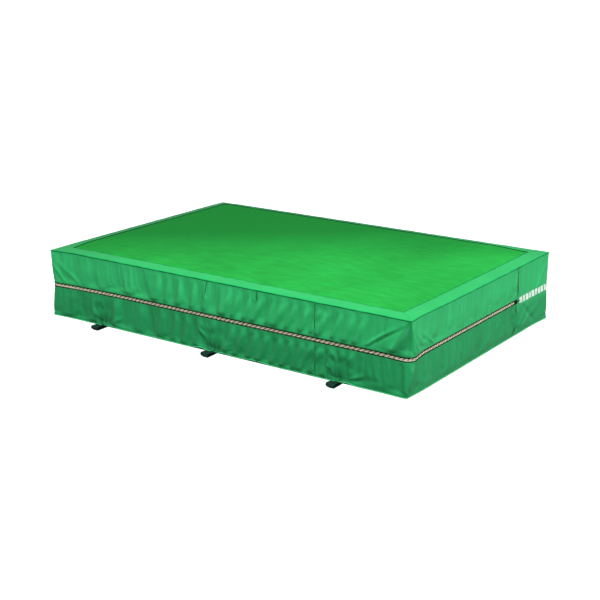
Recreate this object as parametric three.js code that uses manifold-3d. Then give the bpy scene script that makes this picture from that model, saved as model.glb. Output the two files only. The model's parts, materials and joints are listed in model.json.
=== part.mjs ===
// A foam landing mat in a zipped fabric cover: breathable mesh top with a cloth border, half-height walls joined
// by a zip along the front and both ends, a one-piece rear wall, foam layers inside and webbing carry loops
// along both long sides. Millimetres, +Z up; the origin is the middle of the base and the front faces -Y.
import * as THREE from "three";
import { mergeVertices } from "three/addons/utils/BufferGeometryUtils.js";
import Module from "manifold-3d";

// Driving dimensions.
const LENGTH = 3000; // along X
const WIDTH = 2000; // along Y, without the carry loops
const HEIGHT = 500;
const CORNER_R = 30; // plan radius of the top rim's corners
const BORDER = 110; // width of the cloth border round the mesh
const CLOTH = 2.4; // thickness that a layer of cover cloth is drawn with
const GAP = 0.3; // between pieces that touch
const WALL_INSET = 2; // the rim stands this far out over the walls
const FOAM_INSET = 24;

// The zip, at half height, runs from one end's wall seam round the front to the other's.
const ZIP_Z = HEIGHT / 2;
const ZIP_OPENING = 26; // between the two cloth edges
const ZIP_LAP = 12; // how far the tape runs on behind the cloth
const COIL_GAP = 1.2; // between the two rows of teeth
const COIL_HEIGHT = 6;
const COIL_DEPTH = 3.2;
const TAPE = 1.4; // tape thickness
const SEAM_Y = 490; // upright seams of both ends, where the zip stops and the flap folds
const FRONT_SEAM_X = 816; // upright seam of the front

// Carry loops: webbing sewn into the bottom seam.
const HANDLE_PITCH = 1000;
const WEBBING_WIDTH = 60;
const WEBBING = 2.4; // thickness of one layer
const LOOP_PAIR = 5.3; // two layers and the slack between them
const LOOP_HINGE_OUT = 9; // how far the bend stands out from the wall
const LOOP_REACH = 105; // from the bend to the tip
const LOOP_TIP_R = 12;
const TAIL_INSIDE = 92; // the sewn tails, inside the wall

// Levels.
const TOP_UNDERSIDE = HEIGHT - CLOTH;
const STRAP_Z = CLOTH + GAP; // underside of the webbing, on the bottom cloth
const HINGE_Z = STRAP_Z + LOOP_PAIR / 2;
const WALL_OUT = WALL_INSET; // insets from the rim to the wall's two faces
const FOAM_LAYERS = [
  { name: "foam_base", blocks: ["left", "middle", "right"], height: 230 },
  { name: "foam_core", blocks: ["left", "right"], height: 208 },
  { name: "foam_topper", blocks: [""], height: 46 },
];

const ARC_STEPS = 5;
const wasm = await Module();
wasm.setup();

const finish = (color, roughness, metalness = 0) => new THREE.MeshStandardMaterial({ color, roughness, metalness });
const MATERIALS = {
  mesh: finish("#2fbd4b", 0.8),
  border: finish("#46d181", 0.55),
  wall: finish("#2ca463", 0.6),
  base: finish("#1b6341", 0.7),
  tape: finish("#c8b79c", 0.85),
  coil: finish("#b7a68b", 0.45),
  webbing: finish("#12352d", 0.8),
  slider: finish("#1b1c1e", 0.35, 0.8),
  foam: finish("#e6dfbf", 0.95),
};

// ---- Small helpers -------------------------------------------------------------------------------------------

const extruded = (shape, depth) =>
  new THREE.ExtrudeGeometry(shape, { depth, bevelEnabled: false, curveSegments: ARC_STEPS });

// A plan shape made upright between two levels.
function upright(name, shape, low, high, material) {
  const mesh = new THREE.Mesh(extruded(shape, high - low), material);
  mesh.name = name;
  mesh.position.z = low;
  return mesh;
}

// The same outline in another quarter of the plan.
const mirrored = (shape, sideX, sideY) =>
  new THREE.Shape(shape.getPoints(ARC_STEPS).map((p) => new THREE.Vector2(p.x * sideX, p.y * sideY)));

const polygon = (points) => new THREE.Shape(points.map(([x, y]) => new THREE.Vector2(x, y)));

const boxAt = (low, high) =>
  new THREE.BoxGeometry(...high.map((h, k) => h - low[k])).translate(...high.map((h, k) => (h + low[k]) / 2));

// A closed geometry as a manifold-3d solid, and back.
function solidOf(geometry) {
  const bare = geometry.clone();
  bare.deleteAttribute("normal");
  bare.deleteAttribute("uv");
  const merged = mergeVertices(bare, 1e-4);
  const vertProperties = new Float32Array(merged.getAttribute("position").array);
  return new wasm.Manifold(new wasm.Mesh({ numProp: 3, vertProperties, triVerts: new Uint32Array(merged.index.array) }));
}

function geometryOf(solid) {
  const { vertProperties, triVerts } = solid.getMesh();
  return new THREE.BufferGeometry()
    .setAttribute("position", new THREE.BufferAttribute(vertProperties, 3))
    .setIndex(new THREE.BufferAttribute(triVerts, 1));
}

function named(name, geometry, material) {
  const mesh = new THREE.Mesh(geometry, material);
  mesh.name = name;
  return mesh;
}

// ---- Plan outlines, in the quarter where x and y are positive ------------------------------------------------

const CORNER_X = LENGTH / 2 - CORNER_R;
const CORNER_Y = WIDTH / 2 - CORNER_R;

// A strip round one corner, from y = yFrom on the end face to x = xTo on the long face.
function cornerStrip(yFrom, xTo, inset, thickness) {
  const outer = CORNER_R - inset;
  const inner = outer - thickness;
  const shape = new THREE.Shape();
  shape.moveTo(CORNER_X + outer, yFrom);
  shape.absarc(CORNER_X, CORNER_Y, outer, 0, Math.PI / 2, false);
  shape.lineTo(xTo, CORNER_Y + outer);
  shape.lineTo(xTo, CORNER_Y + inner);
  shape.absarc(CORNER_X, CORNER_Y, inner, Math.PI / 2, 0, true);
  shape.lineTo(CORNER_X + inner, yFrom);
  return shape;
}

// A strip round both corners of a long face, from y = yFrom on one end face to the same on the other.
function roundStrip(yFrom, inset, thickness) {
  const outer = CORNER_R - inset;
  const inner = outer - thickness;
  const shape = new THREE.Shape();
  shape.moveTo(CORNER_X + outer, yFrom);
  shape.absarc(CORNER_X, CORNER_Y, outer, 0, Math.PI / 2, false);
  shape.absarc(-CORNER_X, CORNER_Y, outer, Math.PI / 2, Math.PI, false);
  shape.lineTo(-CORNER_X - outer, yFrom);
  shape.lineTo(-CORNER_X - inner, yFrom);
  shape.absarc(-CORNER_X, CORNER_Y, inner, Math.PI, Math.PI / 2, true);
  shape.absarc(CORNER_X, CORNER_Y, inner, Math.PI / 2, 0, true);
  shape.lineTo(CORNER_X + inner, yFrom);
  return shape;
}

function roundedPlan(inset) {
  const radius = CORNER_R - inset;
  const shape = new THREE.Shape();
  shape.absarc(CORNER_X, CORNER_Y, radius, 0, Math.PI / 2, false);
  shape.absarc(-CORNER_X, CORNER_Y, radius, Math.PI / 2, Math.PI, false);
  shape.absarc(-CORNER_X, -CORNER_Y, radius, Math.PI, 1.5 * Math.PI, false);
  shape.absarc(CORNER_X, -CORNER_Y, radius, 1.5 * Math.PI, 2 * Math.PI, false);
  return shape;
}

// The border strip of a long side, mitred at both ends.
function longBorder() {
  const end = CORNER_X - GAP / 2;
  const shape = new THREE.Shape();
  shape.absarc(end, CORNER_Y, CORNER_R, Math.PI / 4, Math.PI / 2, false);
  shape.absarc(-end, CORNER_Y, CORNER_R, Math.PI / 2, 0.75 * Math.PI, false);
  shape.lineTo(-LENGTH / 2 + BORDER + GAP / 2, WIDTH / 2 - BORDER);
  shape.lineTo(LENGTH / 2 - BORDER - GAP / 2, WIDTH / 2 - BORDER);
  return shape;
}

// The border strip of an end, from a straight cut at y = yFrom to the mitre.
function endBorder(yFrom) {
  const shape = new THREE.Shape();
  shape.moveTo(LENGTH / 2, yFrom);
  shape.absarc(CORNER_X, CORNER_Y - GAP / 2, CORNER_R, 0, Math.PI / 4, false);
  shape.lineTo(LENGTH / 2 - BORDER, WIDTH / 2 - BORDER - GAP / 2);
  shape.lineTo(LENGTH / 2 - BORDER, yFrom);
  return shape;
}

// ---- Cover ---------------------------------------------------------------------------------------------------

const FRONT = -1;
const BACK = 1;
const SIDES = [
  { name: "left", x: -1 },
  { name: "right", x: 1 },
];
const FIXED_CUT = SEAM_Y + GAP / 2; // where the fixed rear of the cover begins
const FLAP_CUT = SEAM_Y - GAP / 2; // where the flap in front of it ends

// The mesh landing panel, in front of or behind the fold.
function meshPanel(name, yLow, yHigh) {
  const x = LENGTH / 2 - BORDER - GAP;
  return upright(name, polygon([[-x, yLow], [x, yLow], [x, yHigh], [-x, yHigh]]), TOP_UNDERSIDE, HEIGHT, MATERIALS.mesh);
}

function topOfFlap() {
  const meshFront = -WIDTH / 2 + BORDER + GAP;
  return [
    meshPanel("top_mesh_front", meshFront, FLAP_CUT),
    upright("front_border", mirrored(longBorder(), 1, FRONT), TOP_UNDERSIDE, HEIGHT, MATERIALS.border),
    ...SIDES.map(({ name, x }) =>
      upright(`${name}_border_front`, mirrored(endBorder(-FLAP_CUT), x, FRONT), TOP_UNDERSIDE, HEIGHT, MATERIALS.border)),
  ];
}

function topOfRear() {
  const meshBack = WIDTH / 2 - BORDER - GAP;
  return [
    meshPanel("top_mesh_rear", FIXED_CUT, meshBack),
    upright("back_border", longBorder(), TOP_UNDERSIDE, HEIGHT, MATERIALS.border),
    ...SIDES.map(({ name, x }) =>
      upright(`${name}_border_rear`, mirrored(endBorder(FIXED_CUT), x, BACK), TOP_UNDERSIDE, HEIGHT, MATERIALS.border)),
  ];
}

// Half-height walls: one piece round each front corner, meeting at the front's seam.
function halfWalls(level, low, high) {
  const right = mirrored(cornerStrip(-FLAP_CUT, FRONT_SEAM_X + GAP / 2, WALL_OUT, CLOTH), 1, FRONT);
  const left = mirrored(cornerStrip(-FLAP_CUT, -FRONT_SEAM_X + GAP / 2, WALL_OUT, CLOTH), -1, FRONT);
  return [
    upright(`${level}_wall_right`, right, low, high, MATERIALS.wall),
    upright(`${level}_wall_front_left`, left, low, high, MATERIALS.wall),
  ];
}

// Slots in a wall's foot that let the webbing through.
function slotted(wall, side) {
  const y = side * (WIDTH / 2 - WALL_OUT);
  const half = WEBBING_WIDTH / 2 + 3;
  let solid = solidOf(wall.geometry.clone().translate(0, 0, wall.position.z));
  for (const x of handlePlaces()) {
    const slot = boxAt([x - half, y - 2 * CLOTH, 0], [x + half, y + 2 * CLOTH, STRAP_Z + LOOP_PAIR + 1]);
    solid = solid.subtract(solidOf(slot));
  }
  return named(wall.name, geometryOf(solid), wall.material);
}

const handlePlaces = () => [-HANDLE_PITCH, 0, HANDLE_PITCH];

function wallsBelow() {
  const low = CLOTH + GAP;
  const halves = halfWalls("lower", low, ZIP_Z - ZIP_OPENING / 2).map((wall) => slotted(wall, FRONT));
  const rear = upright("rear_wall", roundStrip(FIXED_CUT, WALL_OUT, CLOTH), low, TOP_UNDERSIDE - GAP, MATERIALS.wall);
  return [...halves, slotted(rear, BACK)];
}

const wallsAbove = () => halfWalls("upper", ZIP_Z + ZIP_OPENING / 2, TOP_UNDERSIDE - GAP);

const bottomPanel = () => upright("bottom_panel", roundedPlan(WALL_OUT), 0, CLOTH, MATERIALS.base);

// The tape that binds the raw edges of the bottom seam, just above the webbing.
function bottomBinding() {
  const ring = roundedPlan(WALL_OUT - 4);
  ring.holes.push(roundedPlan(WALL_OUT - GAP));
  return upright("bottom_seam_binding", ring, 9.5, 15.5, MATERIALS.border);
}

// ---- Zip -----------------------------------------------------------------------------------------------------

const TAPE_FRONT = WALL_OUT + CLOTH + GAP; // inset of the tape's outer face
const COIL_FRONT = TAPE_FRONT - GAP - COIL_DEPTH;
const COIL_END_Y = SEAM_Y - 8;

// One half of the zip: side is 1 for the half above the middle and -1 for the half below.
function zipHalf(level, side) {
  const half = ZIP_OPENING / 2 + ZIP_LAP;
  const span = (from, to) => [ZIP_Z + side * from, ZIP_Z + side * to].sort((a, b) => a - b);
  const tape = mirrored(roundStrip(-FLAP_CUT, TAPE_FRONT, TAPE), 1, FRONT);
  const coil = mirrored(roundStrip(-COIL_END_Y, COIL_FRONT, COIL_DEPTH), 1, FRONT);
  return [
    upright(`zip_tape_${level}`, tape, ...span(COIL_GAP / 2, half), MATERIALS.tape),
    upright(`zip_teeth_${level}`, coil, ...span(COIL_GAP / 2, COIL_GAP / 2 + COIL_HEIGHT), MATERIALS.coil),
  ];
}

// The metal end stops, one at each end of the teeth.
const endStops = () =>
  SIDES.map(({ name, x }) => {
    const inner = x * (LENGTH / 2 - TAPE_FRONT + GAP);
    const outer = x * (LENGTH / 2 - WALL_OUT + 1.6);
    const [low, high] = [inner, outer].sort((a, b) => a - b);
    const bar = boxAt([low, COIL_END_Y + 1, ZIP_Z - 5], [high, COIL_END_Y + 5, ZIP_Z + 5]);
    return named(`zip_end_stop_${name}`, bar, MATERIALS.slider);
  });

// The slider, closed against the right-hand stop. Its own frame has the zip's middle line as Y.
const SLIDER_LENGTH = 34;
const SLIDER_X = LENGTH / 2 - TAPE_FRONT; // the tape's outer face
const SLIDER_Y = COIL_END_Y - SLIDER_LENGTH / 2 - 3;
const PLATE = 2;
const BACK_PLATE = [-TAPE - 0.6 - PLATE, -TAPE - 0.6];
const FRONT_PLATE = [COIL_DEPTH + 0.9, COIL_DEPTH + 0.9 + PLATE];
const PIN = { x: FRONT_PLATE[1] + 2.3, y: 8, radius: 0.8, lug: 2.2 };

// A slider plate's outline in Y and Z: narrow behind, two shoulders in front.
function sliderPlate([low, high]) {
  const back = -SLIDER_LENGTH / 2;
  const front = SLIDER_LENGTH / 2;
  const outline = polygon([
    [back, -7.5], [back + 12, -7.5], [front - 8, -10], [front, -8], [front - 3, 0],
    [front, 8], [front - 8, 10], [back + 12, 7.5], [back, 7.5],
  ]);
  const plate = extruded(outline, high - low); // drawn in YZ, its thickness along X
  return plate.applyMatrix4(new THREE.Matrix4().makeBasis(
    new THREE.Vector3(0, 1, 0), new THREE.Vector3(0, 0, 1), new THREE.Vector3(1, 0, 0))).translate(low, 0, 0);
}

const uprightPin = (radius, z0, z1) =>
  new THREE.CylinderGeometry(radius, radius, z1 - z0, 24).rotateX(Math.PI / 2).translate(PIN.x, PIN.y, (z0 + z1) / 2);

function zipSlider() {
  const post = boxAt([BACK_PLATE[1] - 0.5, 6, -0.35], [FRONT_PLATE[0] + 0.5, 12, 0.35]);
  let solid = solidOf(sliderPlate(FRONT_PLATE)).add(solidOf(sliderPlate(BACK_PLATE))).add(solidOf(post));
  for (const side of [-1, 1]) {
    const [low, high] = [side * 4, side * 6.2].sort((a, b) => a - b);
    const foot = boxAt([FRONT_PLATE[1] - 0.5, PIN.y - PIN.lug, low], [PIN.x, PIN.y + PIN.lug, high]);
    solid = solid.add(solidOf(foot)).add(solidOf(uprightPin(PIN.lug, low, high)));
  }
  solid = solid.add(solidOf(uprightPin(PIN.radius, -5, 5)));
  const slider = named("zip_slider", geometryOf(solid), MATERIALS.slider);
  slider.position.set(SLIDER_X, SLIDER_Y, ZIP_Z);
  return slider;
}

// The pull: an eye round the slider's pin, then a flat tongue with a slot in it, lying along the zip.
function zipPull() {
  const length = 56;
  const eye = 1.9;
  const half = 0.8;
  const meet = Math.asin(half / eye);
  const side = new THREE.Shape();
  side.absarc(0, 0, eye, meet, 2 * Math.PI - meet, false);
  side.lineTo(length, -half);
  side.lineTo(length, half);
  side.holes.push(new THREE.Path().absarc(0, 0, 1.05, 0, 2 * Math.PI, true));
  const height = 7.2;
  const tongue = solidOf(new THREE.ExtrudeGeometry(side, { depth: height, bevelEnabled: false, curveSegments: 24 }));
  const slot = boxAt([length - 18, -2, height / 2 - 1.7], [length - 4, 2, height / 2 + 1.7]);
  const geometry = geometryOf(tongue.subtract(solidOf(slot)));
  const pull = named("zip_pull", geometry.rotateZ(Math.PI / 2).translate(0, 0, -height / 2), MATERIALS.slider);
  pull.position.set(SLIDER_X + PIN.x, SLIDER_Y + PIN.y, ZIP_Z);
  return pull;
}

// ---- Carry loops ---------------------------------------------------------------------------------------------

// The side view of a loop: out from the bend, a double strap that opens into an eye at the tip.
function loopSection() {
  const root = LOOP_PAIR / 2;
  const floor = -HINGE_Z + GAP;
  const tipX = LOOP_REACH - LOOP_TIP_R;
  const tipY = floor + LOOP_TIP_R;
  const shape = new THREE.Shape();
  shape.absarc(0, 0, root, Math.PI / 2, 1.5 * Math.PI, false);
  shape.bezierCurveTo(12, -root, 20, floor, 34, floor);
  shape.lineTo(tipX, floor);
  shape.absarc(tipX, tipY, LOOP_TIP_R, -Math.PI / 2, Math.PI / 2, false);
  shape.bezierCurveTo(tipX - 26, tipY + LOOP_TIP_R, 46, root + 2, 30, root);
  const eye = new THREE.Path();
  eye.moveTo(38, floor + WEBBING);
  eye.lineTo(tipX, floor + WEBBING);
  eye.absarc(tipX, tipY, LOOP_TIP_R - WEBBING, -Math.PI / 2, Math.PI / 2, false);
  eye.bezierCurveTo(tipX - 25, tipY + LOOP_TIP_R - WEBBING, 50, root - 0.6, 38, floor + WEBBING + 0.4);
  shape.holes.push(eye);
  return shape;
}

// One loop and its sewn tail, on the front or the back long side.
function carryLoop(sideName, side, placeName, x) {
  const loop = named(`${sideName}_${placeName}_carry_loop`, extruded(loopSection(), WEBBING_WIDTH), MATERIALS.webbing);
  loop.geometry.translate(0, 0, -WEBBING_WIDTH / 2);
  loop.quaternion.setFromRotationMatrix(new THREE.Matrix4().makeBasis(
    new THREE.Vector3(0, side, 0), new THREE.Vector3(0, 0, 1), new THREE.Vector3(side, 0, 0)));
  const wallFace = WIDTH / 2 - WALL_OUT;
  loop.position.set(x, side * (wallFace + LOOP_HINGE_OUT), HINGE_Z);
  const ends = [side * (wallFace - TAIL_INSIDE), side * (wallFace + LOOP_HINGE_OUT - LOOP_PAIR / 2 - GAP)];
  const [low, high] = ends.sort((a, b) => a - b);
  const tail = boxAt([x - WEBBING_WIDTH / 2, low, STRAP_Z], [x + WEBBING_WIDTH / 2, high, STRAP_Z + LOOP_PAIR]);
  return [loop, named(`${sideName}_${placeName}_loop_tail`, tail, MATERIALS.webbing)];
}

function carryLoops() {
  const places = ["left", "middle", "right"];
  return [["front", FRONT], ["back", BACK]].flatMap(([sideName, side]) =>
    handlePlaces().flatMap((x, i) => carryLoop(sideName, side, places[i], x)));
}

// ---- Foam ----------------------------------------------------------------------------------------------------

function foamBlocks() {
  const x = LENGTH / 2 - FOAM_INSET;
  const y = WIDTH / 2 - FOAM_INSET;
  let floor = STRAP_Z + LOOP_PAIR + 1;
  return FOAM_LAYERS.flatMap(({ name, blocks, height }) => {
    const low = floor;
    const width = (2 * x) / blocks.length;
    floor += height + GAP;
    return blocks.map((block, i) => {
      const from = -x + i * width + GAP / 2;
      const geometry = boxAt([from, -y, low], [from + width - GAP, y, low + height]);
      return named(block ? `${name}_${block}` : name, geometry, MATERIALS.foam);
    });
  });
}

// ---- Assembly ------------------------------------------------------------------------------------------------

const landingMat = new THREE.Group();
const coverFlap = new THREE.Group();
coverFlap.add(...topOfFlap(), ...wallsAbove(), ...zipHalf("upper", 1));
landingMat.add(
  bottomPanel(), bottomBinding(), ...wallsBelow(), ...topOfRear(), ...zipHalf("lower", -1), ...endStops(),
  zipSlider(), zipPull(), ...carryLoops(), ...foamBlocks(), coverFlap);

export default landingMat;
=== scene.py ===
"""A foam landing mat in a zipped cloth cover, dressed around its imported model."""
import json
import math
import random

import bmesh
import bpy
import numpy as np
from mathutils import Matrix, Vector
from mathutils.kdtree import KDTree

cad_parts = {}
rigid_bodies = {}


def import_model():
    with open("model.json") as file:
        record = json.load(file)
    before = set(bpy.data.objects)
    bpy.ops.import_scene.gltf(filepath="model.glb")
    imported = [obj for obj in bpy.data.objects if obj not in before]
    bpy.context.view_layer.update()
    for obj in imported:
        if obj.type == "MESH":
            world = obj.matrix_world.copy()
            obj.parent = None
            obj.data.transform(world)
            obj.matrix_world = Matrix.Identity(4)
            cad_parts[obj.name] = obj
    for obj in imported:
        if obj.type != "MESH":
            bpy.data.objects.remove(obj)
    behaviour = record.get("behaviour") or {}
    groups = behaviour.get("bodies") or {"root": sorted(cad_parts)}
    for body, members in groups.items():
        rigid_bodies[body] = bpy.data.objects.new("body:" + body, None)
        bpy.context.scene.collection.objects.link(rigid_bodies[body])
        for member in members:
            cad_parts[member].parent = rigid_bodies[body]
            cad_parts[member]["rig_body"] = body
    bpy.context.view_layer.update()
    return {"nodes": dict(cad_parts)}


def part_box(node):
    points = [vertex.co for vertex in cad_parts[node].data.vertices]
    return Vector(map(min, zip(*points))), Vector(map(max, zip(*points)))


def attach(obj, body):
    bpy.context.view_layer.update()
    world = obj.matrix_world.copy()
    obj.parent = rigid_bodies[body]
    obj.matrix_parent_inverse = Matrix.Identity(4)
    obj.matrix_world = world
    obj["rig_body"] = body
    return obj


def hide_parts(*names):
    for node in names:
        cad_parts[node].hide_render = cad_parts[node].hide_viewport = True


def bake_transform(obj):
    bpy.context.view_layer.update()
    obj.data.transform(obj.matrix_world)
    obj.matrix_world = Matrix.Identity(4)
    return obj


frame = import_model()

# ---- Sizes, in metres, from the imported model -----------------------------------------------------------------

MAT, FLAP = "mat", "cover_flap"
RIM_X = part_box("right_border_front")[1][0]  # the rim's half length
RIM_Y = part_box("back_border")[1][1]  # the rim's half width
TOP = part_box("top_mesh_front")[1][2]
BORDER = RIM_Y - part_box("back_border")[0][1]
SEAM_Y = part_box("rear_wall")[0][1]  # upright seams of both ends, where the zip stops
FRONT_SEAM_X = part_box("upper_wall_right")[0][0]
SEAM_LAP = 0.019  # the second row of the front seam's stitches
ZIP_Z = (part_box("zip_teeth_lower")[1][2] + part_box("zip_teeth_upper")[0][2]) / 2
ZIP_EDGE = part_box("upper_wall_right")[0][2] - ZIP_Z  # from the zip's middle to the cloth's edge
WALL_IN = RIM_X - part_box("rear_wall")[1][0]  # how far the rim stands out over the walls
TAPE_IN = RIM_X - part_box("zip_tape_upper")[1][0]
TEETH_IN = RIM_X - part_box("zip_teeth_upper")[1][0]
TEETH_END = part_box("zip_teeth_upper")[1][1]
LOOP_BOXES = [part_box(f"front_{place}_carry_loop") for place in ("left", "middle", "right")]
LOOP_X = [(low[0] + high[0]) / 2 for low, high in LOOP_BOXES]

CLOTH = 0.0012  # the thickness that the cover's cloth is drawn with
CORNER = 0.066  # plan radius of the cover's corners at the zip
RIM_CORNER = 0.012  # and at the rim
HEM_Z = 0.006  # where the walls end above the floor
HEM_IN = WALL_IN + 0.004
HEM_CORNER = 0.014
FOAM_CORNER = 0.04
WALL_TOP = TOP - 0.004
STEP = 0.0085  # the walls' points stand this far apart along the path

# ---- The cover's outline -------------------------------------------------------------------------------------

STRAIGHT_X = RIM_X - CORNER
STRAIGHT_Y = RIM_Y - CORNER
QUARTER = math.pi / 2 * CORNER
# Legs of the path round the mat, from the right end's seam, seen from above in clockwise order.
LEGS = [
    ("line", (RIM_X, SEAM_Y), (0, -1), SEAM_Y + STRAIGHT_Y),
    ("turn", (STRAIGHT_X, -STRAIGHT_Y), 0, QUARTER),
    ("line", (STRAIGHT_X, -RIM_Y), (-1, 0), 2 * STRAIGHT_X),
    ("turn", (-STRAIGHT_X, -STRAIGHT_Y), -90, QUARTER),
    ("line", (-RIM_X, -STRAIGHT_Y), (0, 1), 2 * STRAIGHT_Y),
    ("turn", (-STRAIGHT_X, STRAIGHT_Y), 180, QUARTER),
    ("line", (-STRAIGHT_X, RIM_Y), (1, 0), 2 * STRAIGHT_X),
    ("turn", (STRAIGHT_X, STRAIGHT_Y), 90, QUARTER),
    ("line", (RIM_X, STRAIGHT_Y), (0, -1), STRAIGHT_Y - SEAM_Y),
]
ROUND = sum(leg[3] for leg in LEGS)
FRONT_START = LEGS[0][3] + QUARTER  # where the path reaches the front's straight
LEFT_SEAM = FRONT_START + 2 * STRAIGHT_X + QUARTER + LEGS[0][3]  # the left end's seam
CORNER_REACH = 0.3  # a corner of another radius shifts the cloth this far along its sides
NEAR_CORNER = FRONT_START - QUARTER / 2
LEFT_CORNER = FRONT_START + 2 * STRAIGHT_X + QUARTER / 2
BACK_CORNERS = (LEFT_SEAM + (STRAIGHT_Y - SEAM_Y) + QUARTER / 2, ROUND - (STRAIGHT_Y - SEAM_Y) - QUARTER / 2)


def on_front(x):
    return FRONT_START + STRAIGHT_X - x


def on_right_end(y):
    return SEAM_Y - y


def station(s):
    """Where the path is after s metres: its point and outward normal, and the ways that a change of inset and a
    change of the corners' radius move the point."""
    s = s % ROUND
    for leg in LEGS:
        kind, at, heading, length = leg
        if s <= length or leg is LEGS[-1]:
            break
        s -= length
    if kind == "turn":
        angle = math.radians(heading) - s / CORNER
        normal = np.array([math.cos(angle), math.sin(angle)])
        point = np.array(at) + CORNER * normal
        diagonal = math.radians(heading - 45)
        corner = math.sqrt(2) * np.array([math.cos(diagonal), math.sin(diagonal)])
        return point, normal, corner, normal
    heading = np.array(heading, float)
    normal = np.array([-heading[1], heading[0]])
    if np.dot(normal, at) < 0:
        normal = -normal
    point = np.array(at) + s * heading
    ends = [(s, -heading), (length - s, heading)]
    if leg is LEGS[0]:
        ends = ends[1:]  # it starts at the seam, and not at a corner
    if leg is LEGS[-1]:
        ends = ends[:1]
    along = np.zeros(2)
    for distance, towards in ends:
        along = along + towards * max(0.0, 1 - distance / CORNER_REACH) ** 2
    return point, normal, normal + along, normal


class Outline:
    """The path at many stations at once."""

    def __init__(self, stations):
        found = [station(s) for s in stations]
        self.s = np.array(stations)
        self.point, self.normal, self.corner, self.round = (np.array(part) for part in zip(*found))

    def at(self, inset, radius):
        """Plan points that stand inset from the rim's line, with corners of the given radius."""
        inset = np.broadcast_to(inset, self.s.shape)[:, None]
        radius = np.broadcast_to(radius, self.s.shape)[:, None]
        shift = CORNER - radius - inset
        return self.point + shift * self.corner - (CORNER - radius) * self.round


def spread(start, end, step):
    return np.linspace(start, end, max(2, round((end - start) / step)) + 1)


def smooth(edge0, edge1, value):
    t = np.clip((value - edge0) / (edge1 - edge0), 0, 1)
    return t * t * (3 - 2 * t)


# ---- How the slack cover stands ------------------------------------------------------------------------------

# Where the slack cover stands off its true corners: the corner, the way it leans, its reach, then the lean and the
# sag at the floor, the zip and the rim.
CORNER_LEANS = [
    ((RIM_X, -RIM_Y), (0.82, 0.57), 0.12, (-0.009, 0.017, 0.009), (0.0, 0.008, 0.002)),
    ((-RIM_X, -RIM_Y), (-0.82, -0.57), 0.15, (0.018, 0.021, 0.013), (0.0, 0.002, 0.006)),
    ((RIM_X, RIM_Y), (0.82, 0.57), 0.15, (0.014, 0.008, 0.004), (0.0, 0.0, 0.0)),
    ((-RIM_X, RIM_Y), (-0.7, 0.7), 0.15, (0.004, 0.006, 0.0), (0.0, 0.0, 0.002)),
]
LEAN_LEVELS = (0.0, ZIP_Z, TOP)
LEAN_CUT = 0.07  # the far tail of a lean is cut off, so that the slider's run stays straight
DROOP = 0.010  # how far the zip hangs down towards the left front corner
DIP = 0.005  # how far the right end's rim sags between its corners
PUFF = 0.010  # how far the mat is puffed up along the mesh's back and left edges


def leaned(place):
    """Points of the cover, moved as its corners are."""
    place = np.array(place, float)
    rest = place.copy()
    for corner, (dx, dy), reach, leans, sags in CORNER_LEANS:
        away = np.hypot(rest[..., 0] - corner[0], rest[..., 1] - corner[1])
        share = np.maximum(np.exp(-((away / reach) ** 2)) - LEAN_CUT, 0) / (1 - LEAN_CUT)
        shift = np.interp(rest[..., 2], LEAN_LEVELS, leans) * share
        place[..., 0] += dx * shift
        place[..., 1] += dy * shift
        place[..., 2] -= np.interp(rest[..., 2], LEAN_LEVELS, sags) * share
    droop = smooth(-0.75, -1.45, rest[..., 0]) * smooth(0.1, -0.7, rest[..., 1])
    place[..., 2] -= DROOP * droop * np.interp(rest[..., 2], (0.03, ZIP_Z, TOP - 0.02), (0, 1, 0))
    dip = smooth(1.30, 1.45, rest[..., 0]) * smooth(-0.95, -0.5, rest[..., 1]) * smooth(0.85, 0.2, rest[..., 1])
    place[..., 2] -= DIP * dip * smooth(ZIP_Z + 0.05, TOP, rest[..., 2])
    return place


def edge_lift(x, y):
    """How far the puffed-up edges lift the top."""
    inner_x, inner_y = RIM_X - BORDER, RIM_Y - BORDER
    back = smooth(inner_y - 0.32, inner_y, y) * smooth(inner_x, inner_x - 0.3, x)
    left = smooth(-inner_x + 0.32, -inner_x, x) * smooth(-inner_y - 0.02, -inner_y + 0.2, y)
    return PUFF * np.maximum(back, left)


def settle(piece):
    """Stands a finished piece as the slack cover stands."""
    places = np.array([v.co for v in piece.data.vertices])
    piece.data.vertices.foreach_set("co", leaned(places).ravel())
    piece.data.update()
    return piece


# ---- Meshes --------------------------------------------------------------------------------------------------


def put(name, data):
    """A new object in the scene."""
    made = bpy.data.objects.new(name, data)
    bpy.context.scene.collection.objects.link(made)
    return made


def mesh_of(bm, name):
    mesh = bpy.data.meshes.new(name)
    bm.to_mesh(mesh)
    bm.free()
    return mesh


def as_object(bm, name, finish, smooth_faces=True):
    for face in bm.faces:
        face.smooth = smooth_faces
    piece = put(name, mesh_of(bm, name))
    piece.data.materials.append(finish.material)
    return piece


def thicken(piece, thickness, offset=-1.0):
    """Gives a sheet its thickness, behind its face unless offset says otherwise."""
    solidify = piece.modifiers.new("thickness", "SOLIDIFY")
    solidify.thickness = thickness
    solidify.offset = offset
    solidify.use_even_offset = False
    return piece


def grid_sheet(name, rows, finish, thickness=CLOTH, flip=False):
    """A sheet through rows of points, an array of rows x columns x 3, faced by the order of its columns."""
    rows = np.asarray(rows, float)
    n_rows, n_columns = rows.shape[:2]
    bm = bmesh.new()
    bmesh.ops.create_grid(bm, x_segments=n_columns - 1, y_segments=n_rows - 1, size=0.5)
    order = sorted(bm.verts, key=lambda v: (round(v.co.y, 6), round(v.co.x, 6)))
    for vert, place in zip(order, rows.reshape(-1, 3)):
        vert.co = place
    if flip:
        bmesh.ops.reverse_faces(bm, faces=bm.faces[:])
    piece = as_object(bm, name, finish)
    return thicken(piece, thickness) if thickness else piece


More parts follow.
